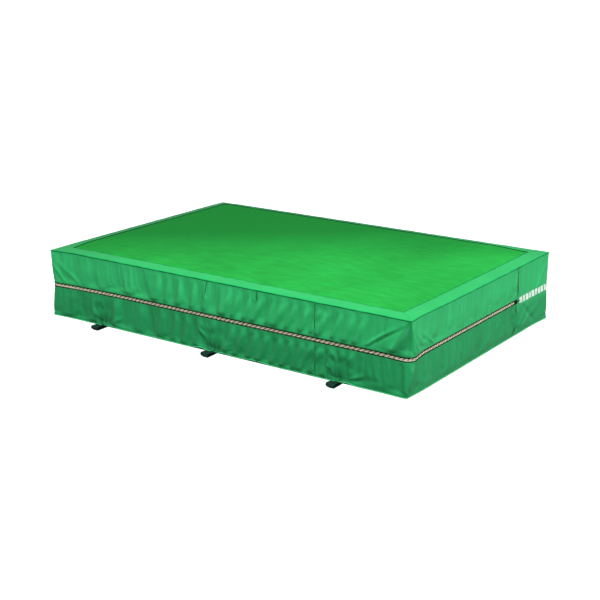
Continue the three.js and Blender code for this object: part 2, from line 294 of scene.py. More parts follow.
def wall_rows(outline, levels, inset, radius, bulge=None):
    """Rows of points up a wall: inset and radius are functions of the level, and bulge is the outward relief."""
    rows = []
    for k, z in enumerate(levels):
        out = 0.0 if bulge is None else bulge[k]
        plan = outline.at(inset(z), radius(z)) + outline.normal * np.broadcast_to(out, outline.s.shape)[:, None]
        rows.append(np.column_stack([plan, np.full(len(plan), z)]))
    return np.array(rows)


def cuboid(size, middle=(0, 0, 0)):
    bm = bmesh.new()
    bmesh.ops.create_cube(bm, size=1)
    bmesh.ops.scale(bm, vec=size, verts=bm.verts)
    bmesh.ops.translate(bm, vec=middle, verts=bm.verts)
    return bm


def bevel(bm, edges, width, segments, **settings):
    bmesh.ops.bevel(bm, geom=edges, offset=width, segments=segments, affect="EDGES", profile=0.5, material=-1,
                    **settings)


def bevelled_box(name, low, high, width, finish, ends_at=None):
    """A block with rounded edges; its upright edges at plus or minus ends_at in X get the foam's corner first."""
    low, high = Vector(low), Vector(high)
    bm = cuboid(high - low, (low + high) / 2)
    if ends_at:
        upright = [e for e in bm.edges if abs(e.verts[0].co.z - e.verts[1].co.z) > 1e-4]
        outer = [e for e in upright if abs(abs(e.verts[0].co.x) - ends_at) < 0.002]
        if outer:
            bevel(bm, outer, FOAM_CORNER, 6)
    bevel(bm, [e for e in bm.edges if len(e.link_faces) == 2 and e.calc_face_angle(0) > 0.8], width, 3)
    return as_object(bm, name, finish)


def repeated(name, seed, places, finish):
    """One piece made of a small seed shape at many places, each a (point, along, outward) frame."""
    bm = bmesh.new()
    for point, along, outward in places:
        first = len(bm.verts)
        bm.from_mesh(seed)
        bm.verts.ensure_lookup_table()
        x = Vector(along).normalized()
        z = Vector(outward).normalized()
        y = z.cross(x).normalized()
        turn = Matrix((x, y, z)).transposed().to_4x4()
        turn.translation = Vector(point)
        bmesh.ops.transform(bm, matrix=turn, verts=bm.verts[first:])
    return as_object(bm, name, finish)


def bead(length, width, height, sink=0.3):
    """A small rounded lozenge lying along X, its flat side down: a stitch, or one zip tooth."""
    bm = cuboid((length, width, height))
    bevel(bm, [e for e in bm.edges if abs(e.verts[0].co.x - e.verts[1].co.x) < 1e-6], min(width, height) * 0.35, 1)
    bmesh.ops.translate(bm, vec=(0, 0, height * (0.5 - sink)), verts=bm.verts)
    return mesh_of(bm, "bead")


def cord_along(name, points, radius, finish, closed=False):
    """A round cord swept through points."""
    curve = bpy.data.curves.new(name, "CURVE")
    curve.dimensions = "3D"
    curve.bevel_depth = radius
    curve.bevel_resolution = 2
    curve.use_fill_caps = not closed
    line = curve.splines.new("POLY")
    line.points.add(len(points) - 1)
    for spot, place in zip(line.points, points):
        spot.co = (*place, 1)
    line.use_cyclic_u = closed
    holder = put(name, curve)
    bpy.context.view_layer.update()
    bm = bmesh.new()
    bm.from_mesh(holder.to_mesh())
    holder.to_mesh_clear()
    bpy.data.objects.remove(holder)
    bmesh.ops.remove_doubles(bm, verts=bm.verts, dist=1e-6)
    bmesh.ops.recalc_face_normals(bm, faces=bm.faces)
    return as_object(bm, name, finish)


# ---- Finishes ------------------------------------------------------------------------------------------------


def linear(red, green, blue):
    """A display colour in 0 to 255 as linear light."""
    return tuple((c / 255 / 12.92) if c / 255 <= 0.04045 else ((c / 255 + 0.055) / 1.055) ** 2.4
                 for c in (red, green, blue))


class Wire:
    """A shader socket that Python's operators work on: each adds a Math node."""

    def __init__(self, finish, socket):
        self.finish, self.socket = finish, socket

    def maths(self, operation, *values):
        """A Math node on these values, or on this socket alone."""
        node = self.finish.node("ShaderNodeMath", {"operation": operation}, dict(enumerate(values or (self,))))
        return Wire(self.finish, node.outputs[0])

    def __add__(self, other):
        return self.maths("ADD", self, other)

    def __radd__(self, other):
        return self.maths("ADD", other, self)

    def __sub__(self, other):
        return self.maths("SUBTRACT", self, other)

    def __rsub__(self, other):
        return self.maths("SUBTRACT", other, self)

    def __mul__(self, other):
        return self.maths("MULTIPLY", self, other)

    def __rmul__(self, other):
        return self.maths("MULTIPLY", other, self)

    def __truediv__(self, other):
        return self.maths("DIVIDE", self, other)

    def __abs__(self):
        return self.maths("ABSOLUTE")

    def __gt__(self, other):
        return self.maths("GREATER_THAN", self, other)

    def __lt__(self, other):
        return self.maths("LESS_THAN", self, other)

    def wave(self, pitch):
        """From 0 to 1 and back once in every pitch."""
        return (self * (2 * math.pi / pitch)).maths("SINE") * 0.5 + 0.5

    def within(self, low, high):
        return (self > low) * (self < high)

    def phase(self, pitch):
        """From 0 to 1 along each pitch."""
        return (self / pitch).maths("FRACT")

    def at_least(self, low):
        return self.maths("MAXIMUM", self, low)


class Nodes:
    """A node tree that nodes are added to."""

    def __init__(self, tree):
        self.tree = tree

    def node(self, kind, settings=None, inputs=None):
        """A node of this type: its settings first, then the values or links of its sockets."""
        made = self.tree.nodes.new(kind)
        for name, value in (settings or {}).items():
            if name == "stops":
                for stop, (position, colour) in zip(made.color_ramp.elements, value):
                    stop.position, stop.color = position, colour
            else:
                setattr(made, name, value)
        for name, value in (inputs or {}).items():
            self.feed(made.inputs[name], value)
        return made

    def feed(self, socket, value):
        if isinstance(value, Wire):
            value = value.socket
        if isinstance(value, bpy.types.NodeSocket):
            self.tree.links.new(value, socket)
        else:
            socket.default_value = value


class Finish(Nodes):
    """A named material around one Principled BSDF, and the record's slot that it belongs to."""

    def __init__(self, name, slot, roughness=0.6, metallic=0.0, **fixed):
        self.slot = slot
        self.material = bpy.data.materials.new(name)
        self.material.use_nodes = True
        super().__init__(self.material.node_tree)
        self.shader = self.tree.nodes["Principled BSDF"]
        self.shader.inputs["Roughness"].default_value = roughness
        self.shader.inputs["Metallic"].default_value = metallic
        for socket, value in fixed.items():
            self.shader.inputs[socket.replace("_", " ")].default_value = value
        self.place = self.node("ShaderNodeTexCoord").outputs["Object"]
        parts = self.node("ShaderNodeSeparateXYZ", inputs={"Vector": self.place})
        self.x, self.y, self.z = (Wire(self, parts.outputs[k]) for k in range(3))

    def noise(self, scale, detail=3.0, stretch=None):
        """Cloudy variation from 0 to 1; scale is per metre, stretch scales each axis."""
        vector = self.place
        if stretch:
            vector = self.node("ShaderNodeMapping", inputs={"Vector": self.place, "Scale": stretch}).outputs[0]
        made = self.node("ShaderNodeTexNoise", inputs={"Vector": vector, "Scale": scale, "Detail": detail})
        return Wire(self, made.outputs["Fac"])

    def mix(self, share, one, two):
        """A colour from one, at share 0, to two, at share 1."""
        made = self.node("ShaderNodeMix", {"data_type": "RGBA"})
        self.feed(made.inputs[0], share)
        for socket, colour in ((made.inputs[6], one), (made.inputs[7], two)):
            self.feed(socket, (*colour, 1) if isinstance(colour, tuple) else colour)
        return made.outputs[2]

    def ramp(self, value, low, high):
        """value stretched so that low gives 0 and high gives 1, and held there outside."""
        made = self.node("ShaderNodeMapRange", {"clamp": True}, {
            "Value": value, "From Min": low, "From Max": high})
        return Wire(self, made.outputs[0])

    def wear(self, colour, roughness=None, relief=None, strength=0.3, depth=0.001):
        """Connects the finished patterns to the shader."""
        self.feed(self.shader.inputs["Base Color"], (*colour, 1) if isinstance(colour, tuple) else colour)
        if roughness is not None:
            self.feed(self.shader.inputs["Roughness"], roughness)
        if relief is not None:
            bump = self.node("ShaderNodeBump", inputs={"Strength": strength, "Distance": depth, "Height": relief})
            self.feed(self.shader.inputs["Normal"], bump.outputs[0])
        return self


def woven(finish, pitch=0.0022):
    """Plain weave, on level and upright cloth alike."""
    warp = (finish.x + finish.y).wave(pitch)
    weft = (finish.z + finish.y * 0.37).wave(pitch)
    return warp * weft


SEAM_AND_SHADE_DARK = linear(6, 54, 34)


def coated_cloth(name, slot, tone, shade, seams_and_painted_shade=()):
    """Proofed nylon: a close weave under a thin sheen, cloudy where it has been handled."""
    cloth = Finish(name, slot, roughness=0.5, Sheen_Weight=0.10, Sheen_Roughness=0.4,
                   Sheen_Tint=(0.85, 0.8, 0.9, 1), Specular_IOR_Level=0.22)
    cloud = cloth.ramp(cloth.noise(3.2, 4), 0.3, 0.7)
    streak = cloth.ramp(cloth.noise(26, 4, stretch=(1, 1, 0.12)), 0.35, 0.75)
    mottle = cloth.ramp(cloth.noise(48, 4), 0.3, 0.7)
    tint = cloth.mix(cloud * 0.45 + streak * 0.35 + mottle * 0.2, shade, tone)
    # Dark seams, and the painted shade of tucks, hollows and corners, over the tint.
    for seam in seams_and_painted_shade:
        tint = cloth.mix(seam(cloth), tint, SEAM_AND_SHADE_DARK)
    relief = woven(cloth) * 0.35 + cloth.noise(160, 4) * 0.65
    return cloth.wear(tint, cloth.ramp(cloth.noise(11, 4), 0.2, 0.8) * 0.16 + 0.46, relief, 0.25, 0.0006)


def on_front_wall(cloth):
    """Keeps a pattern that is placed by X and Z off the other walls."""
    return cloth.y < -RIM_Y + 0.06


def on_ends(cloth):
    """Keeps a pattern that is placed by Y and Z on the two ends."""
    return abs(cloth.x) > RIM_X - 0.08


def front_seam_line(cloth):
    """Two rows of dark stitching up the front's seam."""
    line = abs(cloth.x - FRONT_SEAM_X) < 0.0024
    lap = abs(cloth.x - FRONT_SEAM_X - SEAM_LAP) < 0.0014
    return (line + lap * 0.6) * on_front_wall(cloth) * (cloth.ramp(cloth.z, 0.30, 0.42) * 0.4 + 0.5)


def tuck_painted_shade(cloth):
    """Painted shade in the mouths of two short tucks that hang from the rim."""
    mouths = 0.0
    for x, foot in ((-0.048, 0.385), (0.368, 0.40)):
        side = cloth.x - x + (TOP - cloth.z) * 0.12
        mouths = (abs(side) < 0.0040) * cloth.ramp(cloth.z, foot, foot + 0.03) + mouths
    return mouths * on_front_wall(cloth) * 0.7


def corner_painted_shade(cloth):
    """Painted shade on the wedge of cloth between the near corner and its long diagonal fold."""
    side = cloth.x - 1.345 - (cloth.z - ZIP_Z) * 0.56
    facing = cloth.ramp(cloth.x + cloth.y, RIM_X - RIM_Y + 0.024, RIM_X - RIM_Y + 0.017)
    return cloth.ramp(side, 0.0, 0.012) * facing * (cloth.z > ZIP_Z) * (cloth.y < -RIM_Y + 0.09) * 0.3


def end_seam_line(cloth):
    """The dark upright seam of each end; below the zip the slack cloth drags it aside."""
    drag = (ZIP_Z - cloth.z).at_least(0.0) * 0.2
    return (abs(cloth.y + drag - SEAM_Y) < 0.0048) * on_ends(cloth) * 0.9


def strap_painted_shade(cloth):
    """Painted shade in the hollows where the carry loops draw the cloth in."""
    shade = 0.0
    for x in LOOP_X:
        across, up = (cloth.x - (x - 0.02)) * 8.5, (cloth.z - 0.02) * 11.0
        reach = across * across + up * up
        shade = cloth.ramp(reach, 1.0, 0.0) + shade
    streaks = cloth.ramp(cloth.noise(46, 3, stretch=(1, 1, 0.14)), 0.42, 0.62)
    return shade * (streaks * 0.4 + 0.28)


def printed_bars(cloth):
    """A plain row of slanted white bars printed on the rear wall's right end."""
    low, high, first, last, pitch, slant, filled = 0.226, 0.272, 0.535, 0.975, 0.049, 0.25, 0.72
    slanted = cloth.y + (cloth.z - low) * slant
    bars = (slanted - first).phase(pitch) < filled
    return bars * slanted.within(first, last) * cloth.z.within(low, high) * (cloth.x > RIM_X - 0.08)


WALL_TONE, WALL_SHADE = linear(52, 191, 115), linear(39, 171, 97)
# The lower walls' cloth is a darker copy of the upper walls': painted shade, where less light reaches below the
# zip.
SHADED_LOWER_TONE, LOWER_SHADE = linear(38, 168, 100), linear(26, 136, 76)
WALL = coated_cloth("wall_cloth", "wall", WALL_TONE, WALL_SHADE,
                    (front_seam_line, end_seam_line, tuck_painted_shade, corner_painted_shade))
SHADED_LOWER_WALL = coated_cloth("shaded_lower_wall_cloth", "wall", SHADED_LOWER_TONE, LOWER_SHADE,
                          (front_seam_line, end_seam_line, strap_painted_shade))


def rear_wall_cloth():
    cloth = coated_cloth("rear_wall_cloth", "wall", WALL_TONE, WALL_SHADE)
    base = cloth.shader.inputs["Base Color"]
    # Painted shade: the rear wall's cloth darkens below the zip, like the lower walls.
    shaded_low = cloth.mix(cloth.ramp(cloth.z, 0.25, 0.17) * 0.9, base.links[0].from_socket, linear(30, 150, 88))
    seamed = cloth.mix(end_seam_line(cloth), shaded_low, SEAM_AND_SHADE_DARK)
    cloth.feed(base, cloth.mix(printed_bars(cloth), seamed, linear(226, 240, 232)))
    return cloth


def painted_falloff_to_back_left(cloth):
    """Painted light fall-off: from 0 near the front right corner to 1 at the back left one, where the top is
    painted darker.
    """
    return cloth.ramp(cloth.y * 0.94 - cloth.x * 0.73, -0.36, 0.64)


def border_cloth():
    cloth = Finish("border_cloth", "border", Specular_IOR_Level=0.16)
    cloud = cloth.ramp(cloth.noise(4, 4), 0.3, 0.7)
    tint = cloth.mix(cloud, linear(16, 151, 77), linear(24, 161, 85))
    # Painted shade: the border darkens towards the back left, as the light falls off.
    tint = cloth.mix(painted_falloff_to_back_left(cloth) * 0.8, tint, linear(5, 106, 54))
    relief = woven(cloth) * 0.4 + cloth.noise(120, 4) * 0.6
    return cloth.wear(tint, cloth.noise(13, 4) * 0.15 + 0.42, relief, 0.25, 0.0006)


def mesh_cloth():
    """Open knitted mesh: rows of small holes, staggered."""
    cloth = Finish("landing_mesh", "mesh", Specular_IOR_Level=0.06)
    pitch = 0.0045
    hole = cloth.ramp((cloth.x + cloth.y).wave(pitch) * (cloth.x - cloth.y).wave(pitch), 0.45, 0.8)
    cloud = cloth.ramp(cloth.noise(1.6, 4, stretch=(1, 0.6, 1)), 0.3, 0.75)
    drag = cloth.ramp(cloth.noise(26, 4, stretch=(0.3, 1, 1)), 0.3, 0.7)
    tint = cloth.mix(cloud * 0.6 + drag * 0.4, linear(17, 123, 43), linear(31, 160, 63))
    # Painted shade: the mesh darkens towards the back left, as the light falls off.
    tint = cloth.mix(painted_falloff_to_back_left(cloth), tint, linear(6, 109, 36))
    tint = cloth.mix(hole * 0.3, tint, linear(6, 71, 22))
    return cloth.wear(tint, cloth.noise(20, 3) * 0.12 + 0.66, (1 - hole) + cloth.noise(90, 4) * 0.3, 0.3, 0.0006)


def base_cloth():
    cloth = Finish("base_cloth", "base", roughness=0.7)
    studs = cloth.x.wave(0.012) * cloth.y.wave(0.012)
    tint = cloth.mix(cloth.noise(6, 5), linear(22, 82, 54), linear(34, 104, 70))
    return cloth.wear(tint, 0.7 - studs * 0.1, cloth.ramp(studs, 0.5, 0.8), 0.5, 0.001)


def zip_flecks(finish):
    """Slanted dark marks at an even pitch along the zip."""
    pitch, slant, filled, half_width = 0.036, 1.4, 0.36, 0.0095
    slanted = finish.x + finish.y - (finish.z - ZIP_Z) * slant
    return (slanted.phase(pitch) < filled) * (abs(finish.z - ZIP_Z) < half_width)


def zip_tape_cloth():
    cloth = Finish("zip_tape_cloth", "tape")
    tint = cloth.mix(cloth.ramp(cloth.noise(40, 4), 0.3, 0.7), linear(230, 224, 200), linear(244, 238, 216))
    tint = cloth.mix(zip_flecks(cloth) * 0.9, tint, linear(84, 62, 50))
    return cloth.wear(tint, 0.85, woven(cloth, 0.0014), 0.4, 0.0004)


def zip_coil():
    coil = Finish("zip_teeth", "teeth")
    tint = coil.mix(coil.ramp(coil.noise(60, 4), 0.3, 0.7), linear(232, 224, 198), linear(196, 186, 158))
    tint = coil.mix(zip_flecks(coil) * 0.8, tint, linear(104, 82, 66))
    return coil.wear(tint, 0.5)


def rim_shadow_line_finish():
    """Painted shadow line: dark along most of the rim, and lighter towards the front of the right end."""
    cord = Finish("cord_and_shadow_line", "wall", Specular_IOR_Level=0.1)
    faded = cord.ramp(cord.y, 0.7, -0.2) * (cord.x > RIM_X - 0.03) * 0.6
    return cord.wear(cord.mix(faded, linear(4, 44, 26), linear(40, 150, 90)), cord.noise(240, 3) * 0.16 + 0.67)


def plain(name, slot, colour, roughness, relief=None, metallic=0.0, other=None, scale=40, **fixed):
    """One colour with a cloudy grain; relief, where given, is the surface's own pattern."""
    finish = Finish(name, slot, metallic=metallic, **fixed)
    grain = finish.noise(scale, 5)
    other = other or tuple(c * 0.78 for c in colour)
    tint = finish.mix(finish.ramp(grain, 0.3, 0.7), colour, other)
    height = grain if relief is None else relief(finish)
    return finish.wear(tint, finish.noise(scale * 3, 3) * 0.16 + roughness - 0.08, height, 0.3, 0.0005)


def webbing_ribs(finish):
    """Ribs across the strap and the fine twill along it."""
    return finish.y.wave(0.0036) * 0.6 + (finish.x + finish.y * 0.5).wave(0.0024) * 0.4


def foam_cells(finish):
    cells = finish.node("ShaderNodeTexVoronoi", inputs={"Vector": finish.place, "Scale": 420.0})
    return Wire(finish, cells.outputs["Distance"])


REAR_WALL = rear_wall_cloth()
BORDER_CLOTH = border_cloth()
MESH = mesh_cloth()
BASE = base_cloth()
TAPE = zip_tape_cloth()
TEETH = zip_coil()
WEBBING = plain("webbing", "webbing", linear(10, 50, 42), 0.85, webbing_ribs, other=linear(6, 34, 28), scale=60,
                Specular_IOR_Level=0.15)
METAL = plain("zip_metal", "zip_metal", linear(44, 46, 48), 0.34, metallic=0.85, other=linear(30, 31, 33),
              scale=200)
FOAM = plain("foam", "foam", linear(188, 178, 142), 0.95, foam_cells, other=linear(174, 160, 120), scale=9)
GREEN_THREAD = plain("green_thread", "wall", linear(20, 96, 58), 0.7, scale=300)
PALE_THREAD = plain("pale_thread", "border", linear(44, 170, 96), 0.7, scale=300)
DARK_THREAD = plain("dark_thread", "webbing", linear(8, 32, 26), 0.7, scale=300)
CORD_AND_SHADOW_LINE = rim_shadow_line_finish()
# Dark cord at the zip's edges, partly a painted shadow line.
ZIP_EDGE_CORD_AND_SHADOW = plain("zip_edge_cord_and_shadow", "wall", linear(10, 34, 20), 0.85, scale=80, Specular_IOR_Level=0.1)
HEM = plain("hem", "border", linear(60, 196, 124), 0.55, other=linear(44, 168, 100), scale=30)

# ---- Folds of the walls --------------------------------------------------------------------------------------

OUT_MOST, IN_MOST = 0.019, 0.012  # folds keep clear of the loops outside and of the foam inside


class Folds:
    """Outward relief over a wall, from creases that run between two points (station, level) of the cloth."""

    def __init__(self, outline, levels, seed):
        self.rng = random.Random(seed)
        self.s, self.z = np.meshgrid(outline.s, levels)
        self.height = np.zeros_like(self.s)

    def crease(self, start, end, width, height, fade=0.25):
        """A rounded ridge, or with a negative height a groove; it dies away over fade of its length at each end."""
        (s0, z0), (s1, z1) = start, end
        ds, dz = s1 - s0, z1 - z0
        length = math.hypot(ds, dz)
        t = ((self.s - s0) * ds + (self.z - z0) * dz) / length**2
        off = ((self.s - s0) * dz - (self.z - z0) * ds) / length
        along = smooth(-0.02, fade, t) * smooth(-0.02, fade, 1 - t)
        self.height += height * along * np.exp(-((off / width) ** 2))

    def pucker(self, s, z, reach, height):
        """A rounded hollow or swelling."""
        self.height += height * np.exp(-(((self.s - s) ** 2 + (self.z - z) ** 2) / reach**2))

    def pleats(self, first, last, pitch, foot, head, lean, width, height, shortest=0.75):
        """A row of pleats between two stations; lean moves each one's foot along the cloth."""
        rng = self.rng
        s = first
        while s < last:
            reach = rng.uniform(shortest, 1.0)
            base = (s + lean * reach * rng.uniform(0.85, 1.15), head - (head - foot) * reach)
            self.crease(base, (s, head), width * rng.uniform(0.85, 1.15), height * rng.uniform(0.75, 1.15))
            s += pitch * rng.uniform(0.8, 1.2)

    def fan(self, s, z, count, reach, spread_angle, width, height, turn=0.0):
        """Creases that spread upwards from one held point."""
        rng = self.rng
        for k in range(count):
            angle = turn + spread_angle * ((k + 0.5) / count - 0.5) + rng.uniform(-0.08, 0.08)
            length = reach * rng.uniform(0.6, 1.1)
            tip = (s + length * math.sin(angle), z + length * math.cos(angle))
            self.crease((s, z), tip, width * rng.uniform(0.7, 1.2), height * rng.uniform(0.6, 1.2), 0.35)

    def held(self, low, high, bulge, low_margin, high_margin):
        """The folds about their own mean, on a wall that bulges between its two sewn edges."""
        window = round(0.15 / STEP)
        padded = np.pad(self.height, ((0, 0), (window, window)), mode="edge")
        sums = np.cumsum(padded, axis=1)
        mean = (sums[:, 2 * window:] - sums[:, :-2 * window]) / (2 * window)
        share = (self.z - low) / (high - low)
        relief = 1.5 * (self.height - mean) + bulge * np.sin(math.pi * np.clip(share, 0, 1))
        edge = smooth(0, low_margin, self.z - low) * smooth(0, high_margin, high - self.z)
        most = np.where(relief > 0, OUT_MOST, IN_MOST)
        relief = most * np.tanh(relief / most) * edge
        # Over the zip's tape the cloth can't go in.
        off_tape = smooth(0.002, 0.070, np.abs(self.z - ZIP_Z) - ZIP_EDGE)
        return np.where(relief < 0, relief * off_tape, relief)


def drawn_in(folds, relief, stations):
    """Where a carry loop is sewn its pull draws the cloth in, out of the way of the lifted loop."""
    for at in stations:
        pocket = smooth(0.11, 0.044, np.abs(folds.s - at)) * smooth(0.20, 0.125, folds.z)
        pocket = pocket * smooth(HEM_Z, HEM_Z + 0.022, folds.z)
        relief = relief * (1 - 0.85 * pocket) - 0.009 * pocket
    return relief


def upper_folds(outline, levels):
    folds = Folds(outline, levels, 11)
    low, high = ZIP_Z + ZIP_EDGE, WALL_TOP
    # The front's near half: close pleats that lean with the zip's pull.
    folds.pleats(on_front(1.22), on_front(0.16), 0.082, low - 0.09, high + 0.02, 0.16, 0.020, 0.019, 0.95)
    folds.pleats(on_front(1.10), on_front(0.10), 0.19, low - 0.09, high, 0.18, 0.034, 0.008, 0.9)
    # Its far half: softer and more upright.
    folds.pleats(on_front(0.10), on_front(-0.45), 0.11, low - 0.08, high + 0.02, 0.09, 0.024, 0.013, 0.9)
    folds.pleats(on_front(-0.45), on_front(-1.15), 0.22, low - 0.08, high + 0.02, 0.10, 0.045, 0.007, 0.9)
    folds.pleats(on_front(-0.3), on_front(-1.25), 0.27, low - 0.05, high + 0.02, -0.08, 0.034, 0.003, 0.9)
    # The corner's long diagonal, and the flat cloth between it and the corner.
    folds.crease((on_front(1.13), low - 0.03), (on_front(1.46), high), 0.012, 0.009, 0.10)
    folds.crease((on_front(1.155), low - 0.03), (on_front(1.475), high), 0.008, -0.013, 0.10)
    folds.crease((on_front(1.33), low - 0.05), (on_front(1.475), high), 0.018, 0.011, 0.12)
    folds.crease((on_front(1.455), low - 0.04), (on_front(1.485), high + 0.02), 0.022, -0.020, 0.06)
    folds.crease((FRONT_START - QUARTER * 0.92, low - 0.02), (NEAR_CORNER - 0.004, high), 0.009, 0.006, 0.10)
    # The right end: fine upright pleats below the rim, and the corner's own small diagonals.
    folds.pleats(0.03, on_right_end(-0.55), 0.05, low + 0.03, high, 0.006, 0.011, 0.0038)
    folds.pleats(0.10, on_right_end(-0.80), 0.17, low, high, 0.03, 0.03, 0.004)
    for y, width, height in ((-0.90, 0.010, 0.006), (-0.80, 0.014, 0.005), (-0.68, 0.016, 0.004)):
        folds.crease((on_right_end(y), low + 0.01), (on_right_end(-0.985), high - 0.01), width, height, 0.2)
    for y in (-0.70, -0.74, -0.765):
        folds.crease((on_right_end(y), low + 0.012), (on_right_end(y - 0.07), low + 0.07), 0.008, 0.005, 0.3)
    # The left corner and end.
    folds.crease((on_front(-1.22), low), (on_front(-1.485), high), 0.018, 0.004, 0.1)
    folds.crease((on_front(-1.36), low), (on_front(-1.49), high), 0.014, 0.004, 0.1)
    folds.crease((LEFT_CORNER + 0.20, low), (LEFT_CORNER + 0.04, high - 0.04), 0.02, 0.004, 0.15)
    folds.pleats(LEFT_CORNER + 0.25, LEFT_SEAM - 0.03, 0.09, low, high, -0.05, 0.02, 0.006)
    # Two short tucks that hang from the rim.
    for x, foot in ((-0.04, 0.375), (0.368, 0.42)):
        folds.crease((on_front(x - 0.01), foot), (on_front(x), high), 0.007, -0.007, 0.15)
        folds.crease((on_front(x - 0.03), foot), (on_front(x - 0.022), high), 0.010, 0.006, 0.15)
    return folds.held(low, high, 0.004, 0.040, 0.13)


def lower_folds(outline, levels):
    folds = Folds(outline, levels, 23)
    low, high = HEM_Z, ZIP_Z - ZIP_EDGE
    for x, count in zip(LOOP_X, (7, 11, 9)):
        folds.fan(on_front(x), low + 0.01, count, 0.20, 2.3, 0.015, 0.013, turn=-0.25)
        folds.pucker(on_front(x), low + 0.02, 0.055, -0.014)
    folds.pleats(on_front(1.16), on_front(0.16), 0.088, low - 0.06, high + 0.09, 0.19, 0.022, 0.018, 0.95)
    folds.pleats(on_front(0.05), on_front(-0.4), 0.12, low - 0.06, high + 0.09, 0.12, 0.026, 0.013, 0.9)
    folds.pleats(on_front(-0.4), on_front(-1.3), 0.21, low - 0.06, high + 0.08, 0.10, 0.040, 0.012, 0.9)
    # From the near corner's zip down to its foot.
    folds.crease((NEAR_CORNER + 0.01, low), (NEAR_CORNER - 0.035, high - 0.01), 0.016, 0.010, 0.15)
    folds.crease((NEAR_CORNER - 0.05, low + 0.03), (NEAR_CORNER - 0.01, high - 0.01), 0.014, 0.005, 0.15)
    folds.crease((NEAR_CORNER + 0.10, low), (NEAR_CORNER + 0.03, high), 0.03, -0.005, 0.15)
    # The right end is flatter, with a slack fold beside its seam.
    folds.pleats(0.05, on_right_end(-0.85), 0.12, low + 0.04, high, 0.025, 0.022, 0.004)
    folds.crease((0.02, low + 0.02), (0.07, high), 0.02, 0.008, 0.2)
    folds.crease((0.11, low + 0.02), (0.03, high - 0.02), 0.018, -0.005, 0.2)
    folds.crease((on_right_end(-0.1), low + 0.03), (on_right_end(0.35), high - 0.03), 0.03, 0.004, 0.3)
    folds.pleats(LEFT_CORNER + 0.1, LEFT_SEAM - 0.03, 0.11, low + 0.03, high, -0.04, 0.022, 0.006)
    return drawn_in(folds, folds.held(low, high, 0.005, 0.03, 0.070), [on_front(x) for x in LOOP_X])


def rear_folds(outline, levels):
    folds = Folds(outline, levels, 37)
    low, high = HEM_Z, WALL_TOP
    first, last = BACK_CORNERS
    at_loops = [first + QUARTER / 2 + STRAIGHT_X + x for x in LOOP_X]
    for at in at_loops:
        folds.fan(at, low + 0.01, 9, 0.30, 2.2, 0.018, 0.009)
        folds.pucker(at, low + 0.02, 0.055, -0.012)
    folds.pleats(first + 0.1, last - 0.1, 0.10, 0.22, high, 0.05, 0.022, 0.008)
    folds.pleats(first + 0.15, last - 0.15, 0.23, 0.05, high, -0.09, 0.032, 0.006)
    folds.pleats(LEFT_SEAM + 0.04, first - 0.05, 0.08, 0.10, high, -0.02, 0.018, 0.004)
    folds.pleats(last + 0.05, ROUND - 0.03, 0.09, 0.16, high, 0.02, 0.016, 0.0035)
    # Drag lines on the right end, from the seam's foot to the back corner.
    folds.crease((ROUND - 0.02, 0.05), (ROUND - 0.20, 0.21), 0.020, 0.008, 0.2)
    folds.crease((ROUND - 0.06, 0.03), (ROUND - 0.36, 0.17), 0.024, 0.006, 0.2)
    folds.crease((ROUND - 0.30, 0.03), (ROUND - 0.10, 0.20), 0.018, -0.005, 0.2)
    for corner in BACK_CORNERS:
        for side in (-1, 1):
            folds.crease((corner + side * 0.22, 0.22), (corner + side * 0.05, high - 0.05), 0.018, 0.005, 0.2)
        folds.crease((corner, 0.03), (corner + 0.01, high - 0.06), 0.022, 0.003, 0.2)
    # Flat beside the zip's end, under the pull.
    beside = np.minimum(ROUND - folds.s, folds.s - LEFT_SEAM)
    near_pull = smooth(0.16, 0.02, beside) * smooth(0.09, 0.02, np.abs(folds.z - ZIP_Z))
    return drawn_in(folds, folds.held(low, high, 0.006, 0.018, 0.04) * (1 - near_pull), at_loops)


def wall_inset(z):
    """The walls lean in a little from the zip to the rim, and more from the zip to the hem."""
    above = WALL_IN + 0.001 * np.clip((z - ZIP_Z) / (TOP - ZIP_Z), 0, 1)
    below = WALL_IN + 0.004 * np.clip((ZIP_Z - z) / ZIP_Z, 0, 1)
    return above if z > ZIP_Z else below


def wall_corner(z):
    """Plan radius of a wall's corner at a level: wide at the zip, tight at the rim and the floor."""
    tight = np.interp(z, (0.0, ZIP_Z - 0.02, ZIP_Z + 0.02, TOP), (1.0, 0.0, 0.0, 1.0))
    return float((CORNER - WALL_IN) * (1 - tight) + RIM_CORNER * tight)


SETTLING = 16  # frames
MOST_MOVED = 0.0035  # how far the settling may move the cloth, so that nothing pokes through it


